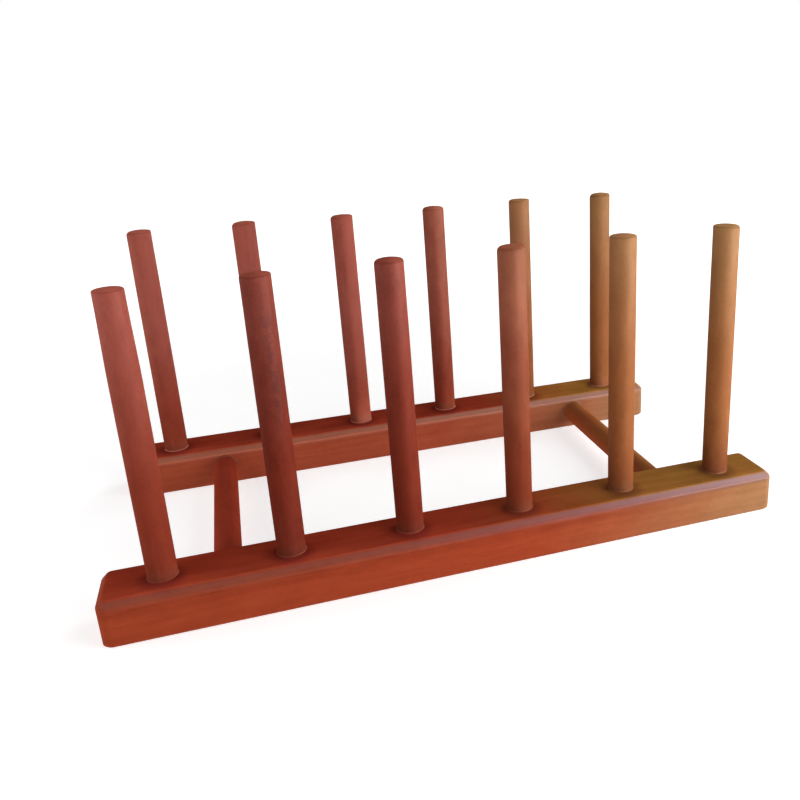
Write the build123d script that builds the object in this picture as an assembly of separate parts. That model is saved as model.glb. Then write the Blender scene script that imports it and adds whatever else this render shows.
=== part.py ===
from build123d import *
import os

# Pot lid rack: two flat rails, two rows of upright pegs and two round stretchers,
# all glued together in blind holes.
# Millimetres, +Z up. The origin is on the standing surface, in the middle of the rack.
# X runs along the rails and Y from the front rail to the back rail.

# Pegs
peg_count = 6                     # in each rail
peg_pitch = 50.8                  # between neighbouring peg centre lines
peg_diameter = 12.0
peg_height = 120.0                # from the rail's top to the peg's tip
peg_tip_bevel = 1.2               # sanded off the rim of the tip

# Rails
rail_end_margin = 24.5            # from the last peg's centre line to the rail's end
rail_depth = 28.0
rail_height = 20.0
rail_spacing = 135.0              # between the centre lines of the two rails
rail_top_bevel = 2.8              # runs round all four top edges
rail_top_corner_radius = 1.6      # of the flat top, inside the bevel, seen from above
rail_arris_radius = 1.5           # sanding where the bevel meets the top and the sides
rail_bottom_ease = 0.8            # small bevel round the underside
rail_floor = 6.0                  # wood left under each peg's hole

# Stretchers
stretcher_diameter = 12.0
stretcher_outset = 1.2            # how far outside the middle of its slot each one lies
stretcher_hole_depth = 10.0

# Joints
glue_gap = 0.1                    # round each dowel, and past a stretcher's ends
dowel_lead_bevel = 1.0            # on the ends that go into the holes
cut_overrun = 1.0                 # how far a cutter stands out of the hole it makes

# Worked out from the sizes above
peg_row_length = (peg_count - 1) * peg_pitch
peg_places = [step * peg_pitch - peg_row_length / 2 for step in range(peg_count)]
peg_radius = peg_diameter / 2
peg_hole_depth = rail_height - rail_floor
peg_length = peg_height + peg_hole_depth

rail_length = peg_row_length + 2 * rail_end_margin
rail_corner_radius = rail_top_corner_radius + rail_top_bevel

stretcher_radius = stretcher_diameter / 2
stretcher_rise = rail_height / 2
stretcher_reach = (peg_row_length - peg_pitch) / 2 + stretcher_outset
stretcher_length = rail_spacing - rail_depth + 2 * (stretcher_hole_depth - glue_gap)

# Which way each rail and each stretcher lies from the middle of the rack
rail_sides = {"front": -1, "back": 1}
stretcher_sides = {"left": -1, "right": 1}

# Stands a cylinder on the plane that it is made on
on_its_foot = (Align.CENTER, Align.CENTER, Align.MIN)


def eased_bar():
    """A plain rail before it is drilled, its underside on z = 0."""
    bar = extrude(RectangleRounded(rail_length, rail_depth, rail_corner_radius), rail_height)
    bar = chamfer(bar.faces().sort_by(Axis.Z)[-1].edges(), rail_top_bevel)
    bar = fillet(bar.faces().sort_by(Axis.Z)[-1].edges(), rail_arris_radius)
    shoulder_z = rail_height - rail_top_bevel
    bar = fillet(bar.edges().filter_by_position(Axis.Z, shoulder_z, shoulder_z), rail_arris_radius)
    return chamfer(bar.faces().sort_by(Axis.Z)[0].edges(), rail_bottom_ease)


def hole_cutter(dowel_radius, depth):
    """Makes a flat-bottomed hole that goes down from the origin."""
    cutter = Cylinder(dowel_radius + glue_gap, depth + cut_overrun, align=on_its_foot)
    return Pos(0, 0, -depth) * cutter


def drilled_rail():
    """One rail with its inner face towards +Y. Both rails are this part."""
    bar = eased_bar()
    peg_cutter = hole_cutter(peg_radius, peg_hole_depth)
    for x in peg_places:
        bar -= Pos(x, 0, rail_height) * peg_cutter
    # Turned so that it goes in through the inner face
    stretcher_cutter = Rot(-90, 0, 0) * hole_cutter(stretcher_radius, stretcher_hole_depth)
    for side in stretcher_sides.values():
        bar -= Pos(side * stretcher_reach, rail_depth / 2, stretcher_rise) * stretcher_cutter
    return bar


def rail(side):
    """A rail in its place. The back one is the same part, turned to face the front one."""
    front = Pos(0, -rail_spacing / 2, 0) * drilled_rail()
    return front if side == "front" else Rot(0, 0, 180) * front


def dowel(radius, length, tip_bevel):
    """A round dowel on z = 0, its foot bevelled to lead it into a hole."""
    rod = Cylinder(radius, length, align=on_its_foot)
    rod = chamfer(rod.faces().sort_by(Axis.Z)[0].edges(), dowel_lead_bevel)
    return chamfer(rod.faces().sort_by(Axis.Z)[-1].edges(), tip_bevel)


def peg(side, number):
    """An upright dowel, standing on the bottom of its hole."""
    place = Pos(peg_places[number], rail_sides[side] * rail_spacing / 2, rail_floor)
    return place * dowel(peg_radius, peg_length, peg_tip_bevel)


def stretcher(side):
    """A dowel that lies from the front rail's hole to the back rail's."""
    place = Pos(stretcher_sides[side] * stretcher_reach, stretcher_length / 2, stretcher_rise)
    return place * Rot(90, 0, 0) * dowel(stretcher_radius, stretcher_length, dowel_lead_bevel)


def pieces():
    """Every piece of the rack under its own name."""
    rack = {f"{side}_rail": rail(side) for side in rail_sides}
    for side in rail_sides:
        for number in range(peg_count):
            rack[f"{side}_peg_{number + 1}"] = peg(side, number)
    for side in stretcher_sides:
        rack[f"{side}_stretcher"] = stretcher(side)
    return rack


os.makedirs("parts", exist_ok=True)
for name, solid in pieces().items():
    solid.label = name
    export_step(solid, f"parts/{name}.step")
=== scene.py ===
import logging
import math
from collections.abc import Callable, Mapping, Sequence
from dataclasses import dataclass, field, replace
from enum import Enum
from typing import Any, Protocol

import bpy
from mathutils import Matrix, Vector


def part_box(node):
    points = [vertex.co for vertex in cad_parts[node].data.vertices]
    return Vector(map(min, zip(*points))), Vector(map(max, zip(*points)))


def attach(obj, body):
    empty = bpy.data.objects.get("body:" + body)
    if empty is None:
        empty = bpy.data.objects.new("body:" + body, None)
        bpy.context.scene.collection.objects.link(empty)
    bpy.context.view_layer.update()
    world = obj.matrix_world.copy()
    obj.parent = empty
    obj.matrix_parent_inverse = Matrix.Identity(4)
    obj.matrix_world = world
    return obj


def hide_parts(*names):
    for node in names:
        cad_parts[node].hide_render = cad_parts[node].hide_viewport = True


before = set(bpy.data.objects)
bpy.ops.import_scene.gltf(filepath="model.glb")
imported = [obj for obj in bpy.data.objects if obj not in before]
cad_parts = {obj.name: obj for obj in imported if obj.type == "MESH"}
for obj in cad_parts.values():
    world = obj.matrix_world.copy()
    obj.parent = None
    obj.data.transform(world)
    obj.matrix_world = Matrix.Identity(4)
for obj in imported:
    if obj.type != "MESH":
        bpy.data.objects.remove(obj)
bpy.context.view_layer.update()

# Looks of the pot lid rack: stained and lacquered wood on a pale studio floor.
# Metres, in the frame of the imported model: X runs along the rails, Y from the front
# rail to the back rail, and Z up. A band is a pair of values, and what it is given for
# sets in softly between the two, or dies away between them.

LOG = logging.getLogger("pot_lid_rack")
MM = 0.001
QUARTER_TURN = math.pi / 2
PEGS_IN_A_ROW = 6
WHITE = (1.0, 1.0, 1.0, 1.0)
Triple = tuple[float, float, float]
Colour = tuple[float, float, float]
Band = tuple[float, float]


class RailSide(Enum):
    """Which of the two rails, by the name that its nodes start with."""

    FRONT = "front"
    BACK = "back"


class StretcherSide(Enum):
    """Which of the two stretchers, by the name that its node starts with."""

    LEFT = "left"
    RIGHT = "right"


class Grain(Enum):
    """The axis that the wood's fibres follow, as the turn that brings it upright."""

    ALONG_RAIL = (0.0, -QUARTER_TURN, 0.0)
    ALONG_STRETCHER = (QUARTER_TURN, 0.0, 0.0)
    ALONG_PEG = (0.0, 0.0, 0.0)


class Input(Enum):
    """What kind of value an input of a Geometry Nodes tree takes, by Blender's name for it."""

    NUMBER = "NodeSocketFloat"
    COUNT = "NodeSocketInt"
    VECTOR = "NodeSocketVector"
    MATERIAL = "NodeSocketMaterial"


# Node trees


class Signal:
    """An output of a node. Python's operators on it add Math nodes."""

    def __init__(self, canvas: "NodeCanvas", socket: bpy.types.NodeSocket | None) -> None:
        """Keeps the socket, if the node has one, and the canvas that new nodes go on."""
        self.canvas = canvas
        self.socket = socket

    def also(self, output: str) -> "Signal":
        """Another output of the same node."""
        return Signal(self.canvas, self.socket.node.outputs[output])

    def _math(self, operation: str, *values: "Signal | float") -> "Signal":
        """A Math node on these values."""
        inputs = dict(enumerate(values))
        return self.canvas.node("ShaderNodeMath", {"operation": operation}, inputs)

    def __add__(self, other: "Signal | float") -> "Signal":
        """self + other"""
        return self._math("ADD", self, other)

    def __radd__(self, other: float) -> "Signal":
        """other + self"""
        return self._math("ADD", other, self)

    def __sub__(self, other: "Signal | float") -> "Signal":
        """self - other"""
        return self._math("SUBTRACT", self, other)

    def __rsub__(self, other: float) -> "Signal":
        """other - self"""
        return self._math("SUBTRACT", other, self)

    def __mul__(self, other: "Signal | float") -> "Signal":
        """self * other"""
        return self._math("MULTIPLY", self, other)

    def __rmul__(self, other: float) -> "Signal":
        """other * self"""
        return self._math("MULTIPLY", other, self)

    def __pow__(self, other: float) -> "Signal":
        """self ** other"""
        return self._math("POWER", self, other)

    def __abs__(self) -> "Signal":
        """abs(self)"""
        return self._math("ABSOLUTE", self)

    def sine(self) -> "Signal":
        """The sine of an angle in radians."""
        return self._math("SINE", self)

    def cosine(self) -> "Signal":
        """The cosine of an angle in radians."""
        return self._math("COSINE", self)

    def folded(self, length: float) -> "Signal":
        """The value, going up to the length and back to 0, over and over."""
        return self._math("PINGPONG", self, length)

    def larger(self, other: "Signal | float") -> "Signal":
        """The larger of the two values."""
        return self._math("MAXIMUM", self, other)

    def smaller(self, other: "Signal | float") -> "Signal":
        """The smaller of the two values."""
        return self._math("MINIMUM", self, other)

    def rise(self, low: float, high: float, smooth: bool = True) -> "Signal":
        """How far the value has come from low to high, kept between 0 and 1.

        Args:
            low: the value that gives 0.
            high: the value that gives 1.
            smooth: whether the rise eases in and out, or is a straight line.

        Returns:
            The share, as a signal.
        """
        kind = "SMOOTHSTEP" if smooth else "LINEAR"
        return self.canvas.node(
            "ShaderNodeMapRange",
            {"interpolation_type": kind, "clamp": True},
            {"Value": self, "From Min": low, "From Max": high, "To Min": 0.0, "To Max": 1.0},
        )

    def fall(self, low: float, high: float) -> "Signal":
        """What the rise leaves: 1 up to low, and 0 from high on."""
        return 1 - self.rise(low, high)

    def between(self, start: Band, stop: Band) -> "Signal":
        """1 between two bands: it rises over the first and falls over the second."""
        return self.rise(*start) * self.fall(*stop)

    def clamped(self) -> "Signal":
        """The value, kept between 0 and 1."""
        return self.rise(0.0, 1.0, smooth=False)


class NodeCanvas:
    """Adds nodes to one node tree."""

    def __init__(self, tree: bpy.types.NodeTree) -> None:
        """Keeps the tree that the nodes go in."""
        self.tree = tree

    @classmethod
    def emptied(cls, owner: bpy.types.Material | bpy.types.World) -> "NodeCanvas":
        """Empties the tree of a material or of the world.

        Args:
            owner: the material or the world.

        Returns:
            A canvas on its tree.
        """
        owner.use_nodes = True
        owner.node_tree.nodes.clear()
        return cls(owner.node_tree)

    def node(
        self,
        kind: str,
        settings: Mapping[str, Any] | None = None,
        inputs: Mapping[str | int, Any] | None = None,
        output: str | int = 0,
    ) -> Signal:
        """Adds a node.

        Args:
            kind: the node's Blender type.
            settings: its properties, which are set first.
            inputs: the value or the signal for each socket, by its name or its index.
            output: the name or the index of the socket that is handed back.

        Returns:
            The chosen output, with no socket if the node has none.
        """
        made = self.tree.nodes.new(kind)
        for name, value in (settings or {}).items():
            setattr(made, name, value)
        for key, value in (inputs or {}).items():
            socket = self._socket(made.inputs, key)
            if isinstance(value, Signal):
                self.tree.links.new(value.socket, socket)
            else:
                socket.default_value = value
        return Signal(self, self._socket(made.outputs, output) if made.outputs else None)

    @staticmethod
    def _socket(sockets: Any, key: str | int) -> bpy.types.NodeSocket:
        """Finds a socket.

        Args:
            sockets: the inputs or the outputs of a node.
            key: an index, or a name that more than one socket may have.

        Returns:
            The socket at the index, or the first one in use with that name.
        """
        if isinstance(key, int):
            return sockets[key]
        return next(s for s in sockets if s.name == key and s.enabled)

    def mixed(self, share: Signal, first: Signal | Colour, second: Signal | Colour) -> Signal:
        """A colour between two colours.

        Args:
            share: 0 for the first colour and 1 for the second.
            first: a colour, or a signal that carries one.
            second: the other.

        Returns:
            The mixed colour.
        """
        ends = {
            end: value if isinstance(value, Signal) else (*value, 1.0)
            for end, value in (("A", first), ("B", second))
        }
        inputs = {"Factor": share, **ends}
        return self.node("ShaderNodeMix", {"data_type": "RGBA"}, inputs, "Result")

    def noise(
        self, place: Signal, scale: float = 1.0, detail: float = 2.0, rough: float = 0.5
    ) -> Signal:
        """Smooth noise between about 0 and 1.

        Args:
            place: where in the pattern.
            scale: how many features there are to a unit of place.
            detail: how many finer layers are added.
            rough: how strong each finer layer is.

        Returns:
            The noise's value.
        """
        inputs = {"Vector": place, "Scale": scale, "Detail": detail, "Roughness": rough}
        return self.node("ShaderNodeTexNoise", {}, inputs)

    def scaled(self, vector: Signal, by: Signal | Triple) -> Signal:
        """A vector or a colour times another, number by number."""
        return self.node("ShaderNodeVectorMath", {"operation": "MULTIPLY"}, {0: vector, 1: by})

    def length(self, vector: Signal) -> Signal:
        """The length of a vector."""
        return self.node("ShaderNodeVectorMath", {"operation": "LENGTH"}, {0: vector}, "Value")

    def parts(self, vector: Signal) -> tuple[Signal, Signal, Signal]:
        """The three numbers of a vector."""
        x = self.node("ShaderNodeSeparateXYZ", {}, {0: vector})
        return x, x.also("Y"), x.also("Z")

    def joined(self, x: Signal | float, y: Signal | float, z: Signal | float) -> Signal:
        """A vector from three numbers."""
        return self.node("ShaderNodeCombineXYZ", {}, {0: x, 1: y, 2: z})

    def kept(self, attribute: str) -> tuple[Signal, Signal, Signal]:
        """The three numbers that an attribute keeps on the mesh."""
        vector = self.node("ShaderNodeAttribute", {"attribute_name": attribute}, {}, "Vector")
        return self.parts(vector)


# The wood's own pattern


@dataclass(frozen=True)
class NoiseLayer:
    """Noise that can be stretched along the fibres.

    Attributes:
        density: how many features there are to a unit of place, along each axis.
        detail: how many finer layers are added.
        rough: how strong each finer layer is.
        swing: how far the layer moves a pattern, from one end of the noise to the other.
    """

    density: Triple
    detail: float = 3.0
    rough: float = 0.6
    swing: float = 1.0

    def value(self, canvas: NodeCanvas, place: Signal) -> Signal:
        """The noise at a place, between about 0 and 1."""
        return canvas.noise(canvas.scaled(place, self.density), 1.0, self.detail, self.rough)

    def swung(self, canvas: NodeCanvas, place: Signal) -> Signal:
        """How far the layer moves a pattern at a place, up or down."""
        return (self.value(canvas, place) - 0.5) * self.swing


@dataclass(frozen=True)
class CellMarks:
    """Small marks in the middle of some of the cells that fill the wood.

    Attributes:
        density: how many cells there are to a unit of place, along each axis.
        size: the band of distances from a cell's middle over which its mark ends.
        chosen: the band of a cell's own random number over which it gets a mark.
    """

    density: Triple
    size: Band
    chosen: Band

    def value(self, canvas: NodeCanvas, place: Signal) -> Signal:
        """How much of a mark there is.

        Args:
            canvas: where the nodes go.
            place: the point, in the unit that the density counts in.

        Returns:
            1 in a mark and 0 outside.
        """
        inputs = {"Vector": canvas.scaled(place, self.density), "Scale": 1.0}
        cell = canvas.node("ShaderNodeTexVoronoi", {}, inputs)
        pick, _, _ = canvas.parts(cell.also("Color"))
        return cell.fall(*self.size) * pick.rise(*self.chosen)


@dataclass(frozen=True)
class WoodPattern:
    """The pale and dark pattern of the wood. Its places are in millimetres, Z along the fibres.

    Attributes:
        streaks: how strong the growth rings and the long streaks are.
        turning: how strong the marks are that go round a turned dowel.
    """

    streaks: float = 1.0
    turning: float = 0.0

    DRIFT = NoiseLayer((0.045, 0.045, 0.009), detail=2.0, rough=0.5, swing=3.4)
    RIPPLE = NoiseLayer((0.22, 0.22, 0.035), detail=2.0, rough=0.5, swing=0.7)
    RINGS_ACROSS = 0.21
    RINGS_DEEP = 0.13
    RING_SHARPNESS = 1.7
    RING_SWING = 0.12
    STREAK = NoiseLayer((0.85, 0.85, 0.02), swing=0.40)
    MOTTLE = NoiseLayer((0.16, 0.16, 0.07), rough=0.55, swing=0.7)
    FIBRE = NoiseLayer((4.2, 4.2, 0.16), rough=0.65, swing=0.32)
    TURNING_MARK = NoiseLayer((0.06, 0.06, 1.6))
    SPECKLE = NoiseLayer((1.1, 1.1, 0.7), detail=2.0, rough=0.5, swing=0.32)
    PORE = CellMarks((1.5, 1.5, 0.13), size=(0.05, 0.15), chosen=(0.55, 0.75))
    PIT = CellMarks((0.05, 0.05, 0.05), size=(0.012, 0.026), chosen=(0.5, 0.52))

    def draw(
        self, canvas: NodeCanvas, place: Signal, tone: Signal | float
    ) -> tuple[Signal, Signal, Signal]:
        """Draws the pattern.

        Args:
            canvas: where the nodes go.
            place: the point.
            tone: how much paler this piece is than the others.

        Returns:
            How pale the wood is, how much of a pore there is, and the fine fibres.
        """
        across, deep, _ = canvas.parts(place)
        drift = self.DRIFT.value(canvas, place) * self.DRIFT.swing
        ripple = self.RIPPLE.value(canvas, place) * self.RIPPLE.swing
        phase = across * self.RINGS_ACROSS + deep * self.RINGS_DEEP + drift + ripple
        rings = ((phase * math.tau).sine() * 0.5 + 0.5) ** self.RING_SHARPNESS
        streaks = (rings - 0.5) * self.RING_SWING + self.STREAK.swung(canvas, place)
        fibres = self.FIBRE.value(canvas, place)
        turned = (self.TURNING_MARK.value(canvas, place) - 0.5) * self.turning
        figure = (0.5 + self.streaks * streaks + self.MOTTLE.swung(canvas, place)
                  + (fibres - 0.5) * self.FIBRE.swing + turned
                  + self.SPECKLE.swung(canvas, place) + tone)
        pores = self.PORE.value(canvas, place).larger(self.PIT.value(canvas, place))
        return figure.clamped(), pores, fibres


# Stains, what lies over them or wears them, and painted light and shade


@dataclass(frozen=True)
class WoodPoint:
    """What a finish can know about a point of the wood.

    Attributes:
        place: the point in the rack's own frame.
        fibre_place: the point in millimetres, its Z along the fibres.
        x: how far along the rack it is.
        y: how far back it is.
        z: its height.
        figure: how pale the wood is.
        rub: where hands and cloths wear the piece.
        ending: rises to 1 over the rounded rim of a dowel's end, and to 2 over its end grain.
    """

    place: Signal
    fibre_place: Signal
    x: Signal
    y: Signal
    z: Signal
    figure: Signal
    rub: Signal
    ending: Signal | float


@dataclass(frozen=True)
class Coat:
    """The colour of the stained wood, and how strong the lacquer's gloss is."""

    colour: Signal
    gloss: Signal

    def tinted(self, share: Signal, tint: Signal | Colour) -> "Coat":
        """The coat, its colour multiplied by a tint where the share is 1."""
        canvas = self.colour.canvas
        return self.covered(share, canvas.scaled(self.colour, tint))

    def covered(self, share: Signal, colour: Signal | Colour) -> "Coat":
        """The coat, with another colour where the share is 1."""
        return replace(self, colour=self.colour.canvas.mixed(share, self.colour, colour))

    def shone(self, share: Signal, gloss: Signal) -> "Coat":
        """The coat, with another gloss where the share is 1."""
        return replace(self, gloss=self.gloss + (gloss - self.gloss) * share)


@dataclass(frozen=True)
class StainTone:
    """A stain in its dark and in its pale fibres, and how strong the lacquer's gloss is."""

    deep: Colour
    pale: Colour
    gloss: float


@dataclass(frozen=True)
class StainFade:
    """A stain that changes along X from one tone to another.

    Attributes:
        left: the tone at the left.
        right: the tone at the right.
        middle: where the two are even, at height 0.
        half: how far from there each of them is pure.
        climb: how much sooner the change comes for each metre of height.
    """

    left: StainTone
    right: StainTone
    middle: float
    half: float
    climb: float = 0.0

    def spread(self, canvas: NodeCanvas, x: Signal, z: Signal, figure: Signal) -> Coat:
        """Spreads the stain.

        Args:
            canvas: where the nodes go.
            x: the place along the rack.
            z: the height.
            figure: how pale the wood is.

        Returns:
            The stained wood.
        """
        ahead = x + z * self.climb - self.middle
        fade = ahead.rise(-self.half, self.half)
        deep = canvas.mixed(fade, self.left.deep, self.right.deep)
        pale = canvas.mixed(fade, self.left.pale, self.right.pale)
        gloss = fade * (self.right.gloss - self.left.gloss) + self.left.gloss
        return Coat(canvas.mixed(figure, deep, pale), gloss)


class FinishLayer(Protocol):
    """Something that lies over a stain, wears it, or paints light or shade on it."""

    def lay(self, canvas: NodeCanvas, point: WoodPoint, coat: Coat) -> Coat:
        """Lays it.

        Args:
            canvas: where the nodes go.
            point: what is known about the point.
            coat: the coat without it.

        Returns:
            The coat with it.
        """


@dataclass(frozen=True)
class EdgeWear:
    """A rail's bevelled edge: its lacquer is shinier there, stain pools in a line below it, and
    painted sheen, shade and highlight lie on and round it.

    A band of heights is measured from the bevel's foot, and what is below the top from the top.

    Attributes:
        foot: the height of the bevel's foot.
        top: the height of the rail's top.
        rail_end: how far from the rack's middle the rail ends.
        row: the Y of the rail's row of pegs.
        stain: the colour on the bevel, which is a painted sheen.
        share: how much of that stain shows.
        pooled: how strong the line of stain that pools below the bevel is, and the painted shade
            on the face under it.
        worn: how strong the painted sheen is on the rail's top, in front of the pegs.
        arris: how strong the painted highlight is on the arris at the bevel's foot.
        matt: how much less the bevel shines at its foot.
    """

    foot: float
    top: float
    rail_end: float
    row: float
    stain: StainFade
    share: float
    pooled: float
    worn: float
    arris: float
    matt: float

    WAVER = 0.0012
    POOL_START, POOL_STOP = (-0.0030, -0.0012), (-0.0010, 0.0)
    POOL_RUB = (0.35, 0.65)
    POOL_LEFT_OF = (-0.03, 0.06)
    POOL_TINT = (0.6, 0.45, 0.4)
    SOAK_START, SOAK_STOP = (-0.0075, -0.0020), (-0.0012, 0.0)
    SOAK_LEFT_OF = (0.08, 0.14)
    SOAK_SHARE = 0.42
    RUB_START = (-0.0020, 0.0018)
    RUB_BELOW_TOP = 0.0011
    RUB_FROM_END = 0.006
    ARRIS_START, ARRIS_STOP = (-0.0005, 0.0002), (0.0005, 0.0011)
    ARRIS_LEFT_OF = (0.045, 0.090)
    ARRIS_TINT = (1.4, 1.4, 1.4)
    WORN_IN_FRONT = (0.002, 0.011)
    WORN_BELOW_TOP = 0.0008
    WORN_LEFT_OF = (-0.06, 0.05)
    WORN_TINT = (1.6, 1.9, 2.0)
    SHINE_UNRUBBED, SHINE_BY_RUB = 0.85, 0.3
    MATT_STOP = (0.0003, 0.0014)

    def lay(self, canvas: NodeCanvas, point: WoodPoint, coat: Coat) -> Coat:
        """Wears the edge.

        Args:
            canvas: where the nodes go.
            point: what is known about the point.
            coat: the coat without the wear.

        Returns:
            The worn coat.
        """
        x, y, z, rub = point.x, point.y, point.z, point.rub
        above = z + (rub - 0.5) * self.WAVER - self.foot
        pooled = above.between(self.POOL_START, self.POOL_STOP) * rub.rise(*self.POOL_RUB)
        pooled = pooled * x.fall(*self.POOL_LEFT_OF)
        # Painted shade: the face grows darker towards the bevel, at the left of the rack; the line
        # of stain that pools just below the bevel is real
        soaked = above.between(self.SOAK_START, self.SOAK_STOP) * x.fall(*self.SOAK_LEFT_OF)
        pooled = pooled.larger(soaked * self.SOAK_SHARE)
        coat = coat.tinted(pooled * self.pooled, self.POOL_TINT)

        along = abs(x).fall(self.rail_end - self.RUB_FROM_END, self.rail_end)
        below_top = z.fall(self.top - self.RUB_BELOW_TOP, self.top)
        rubbed = above.rise(*self.RUB_START) * below_top * along
        # Painted sheen: the bevel takes a paler, mauve colour of its own, where its lacquer would
        # reflect the light
        bevel = self.stain.spread(canvas, x, z, point.figure)
        coat = coat.covered(rubbed * self.share, bevel.colour)

        # Painted highlight: a paler line along the arris at the bevel's foot
        arris = above.between(self.ARRIS_START, self.ARRIS_STOP) * x.fall(*self.ARRIS_LEFT_OF)
        coat = coat.tinted(arris * self.arris, self.ARRIS_TINT)

        # Painted sheen: a paler, hazier strip on the rail's top in front of the pegs
        in_front = self.row - y
        on_top = z.rise(self.top - self.WORN_BELOW_TOP, self.top)
        worn = in_front.rise(*self.WORN_IN_FRONT) * on_top * x.fall(*self.WORN_LEFT_OF)
        coat = coat.tinted(worn * self.worn, self.WORN_TINT)

        shine = bevel.gloss * (self.SHINE_UNRUBBED + rub * self.SHINE_BY_RUB)
        shine = shine * (1 - above.fall(*self.MATT_STOP) * self.matt)
        return coat.shone(rubbed, shine)


@dataclass(frozen=True)
class JointShade:
    """Painted shade and a painted reflection of the pegs on a rail's top, darker round each peg,
    more in front than behind.

    Attributes:
        pitch: from each peg to the next.
        row: the Y of the row of pegs.
        forward: how far in front of a peg's axis the shade's middle is.
        spread: the band of distances from that middle over which the shade ends.
        top: the band of heights over which the rail's top begins.
        tint: the colour of the painted shade.
    """

    pitch: float
    row: float
    forward: float
    spread: Band
    top: Band
    tint: Colour

    def lay(self, canvas: NodeCanvas, point: WoodPoint, coat: Coat) -> Coat:
        """Paints shade round each peg.

        Args:
            canvas: where the nodes go.
            point: what is known about the point.
            coat: the coat without the shade.

        Returns:
            The shaded coat.
        """
        # Painted shade and a painted reflection of each peg, on the rail's top round it
        half = self.pitch / 2
        aside = half - point.x.folded(half)
        behind = point.y + self.forward - self.row
        away = canvas.length(canvas.joined(aside, behind, 0.0))
        return coat.tinted(away.fall(*self.spread) * point.z.rise(*self.top), self.tint)


@dataclass(frozen=True)
class ChippedEnd:
    """The pale streaks where a rail's right end lost its stain.

    Attributes:
        place: how far along the rack the end is.
        reach: how far in from there the streaks begin.
        colour: the bare wood's.
        share: how bare it is.
    """

    place: float
    reach: float
    colour: Colour
    share: float

    FLAKES = NoiseLayer((90.0, 260.0, 60.0))
    FLAKE_EDGE = (0.45, 0.70)

    def lay(self, canvas: NodeCanvas, point: WoodPoint, coat: Coat) -> Coat:
        """Bares the end.

        Args:
            canvas: where the nodes go.
            point: what is known about the point.
            coat: the coat without the streaks.

        Returns:
            The chipped coat.
        """
        flakes = self.FLAKES.value(canvas, point.place).rise(*self.FLAKE_EDGE)
        end = point.x.rise(self.place - self.reach, self.place)
        return coat.covered(end * flakes * self.share, self.colour)


@dataclass(frozen=True)
class VarnishSmear:
    """Varnish smeared up a dowel from its joint, with a painted sheen: the foot is paler and
    hazier.

    Attributes:
        fade: the band of heights over which it thins out.
        left: its tint at the left of the rack.
        right: its tint at the right.
    """

    fade: Band
    left: Colour
    right: Colour

    TINT_CHANGE = (0.02, 0.12)
    WAVER = 0.008

    def lay(self, canvas: NodeCanvas, point: WoodPoint, coat: Coat) -> Coat:
        """Smears the varnish and paints its sheen.

        Args:
            canvas: where the nodes go.
            point: what is known about the point.
            coat: the coat without the smear.

        Returns:
            The smeared coat.
        """
        # Painted sheen: the peg's foot is paler and hazier
        tint = canvas.mixed(point.x.rise(*self.TINT_CHANGE), self.left, self.right)
        share = (point.z - (point.rub - 0.5) * self.WAVER).fall(*self.fade)
        return coat.tinted(share, tint)


@dataclass(frozen=True)
class LacquerBloom:
    """A painted reflection in patches high up on one side of a peg, and a painted highlight at its
    foot.

    Attributes:
        attribute: keeps how strong the painted reflection and the painted highlight are at a
            point.
        clouded: the tint of the painted reflection.
        scuffed: the tint of the painted highlight.
    """

    attribute: str
    clouded: Colour
    scuffed: Colour

    PATCHES = NoiseLayer((0.45, 0.45, 0.35), detail=4.0, rough=0.65)
    PATCH_EDGE = (0.34, 0.62)

    def lay(self, canvas: NodeCanvas, point: WoodPoint, coat: Coat) -> Coat:
        """Paints the reflection and the highlight.

        Args:
            canvas: where the nodes go.
            point: what is known about the point.
            coat: the coat without them.

        Returns:
            The coat with the painted reflection and highlight.
        """
        # Painted reflection in patches, and painted highlight at the foot
        strength, scuff, _ = canvas.kept(self.attribute)
        patches = self.PATCHES.value(canvas, point.fibre_place).rise(*self.PATCH_EDGE)
        return coat.tinted(strength * patches, self.clouded).tinted(scuff, self.scuffed)


@dataclass(frozen=True)
class SawnEnd:
    """The end of a dowel: painted shade on its rounded rim, and the end grain inside the rim,
    painted pale for the light and the reflection on it.

    Attributes:
        rim: the tint of the painted shade on the rim.
        stain: the end grain's colour, painted pale for the light and the reflection on it.
    """

    rim: Colour
    stain: StainFade

    RIM_START = (0.0, 0.6)
    GRAIN_START = (0.25, 1.0)

    def lay(self, canvas: NodeCanvas, point: WoodPoint, coat: Coat) -> Coat:
        """Paints the end's light and shade.

        Args:
            canvas: where the nodes go.
            point: what is known about the point.
            coat: the coat of the dowel's side.

        Returns:
            The coat of its side and its end.
        """
        own = self.stain.spread(canvas, point.x, point.z, point.figure)
        rim, grain = point.ending.rise(*self.RIM_START), point.ending.rise(*self.GRAIN_START)
        return coat.tinted(rim, self.rim).covered(grain, own.colour).shone(rim, own.gloss)


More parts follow.
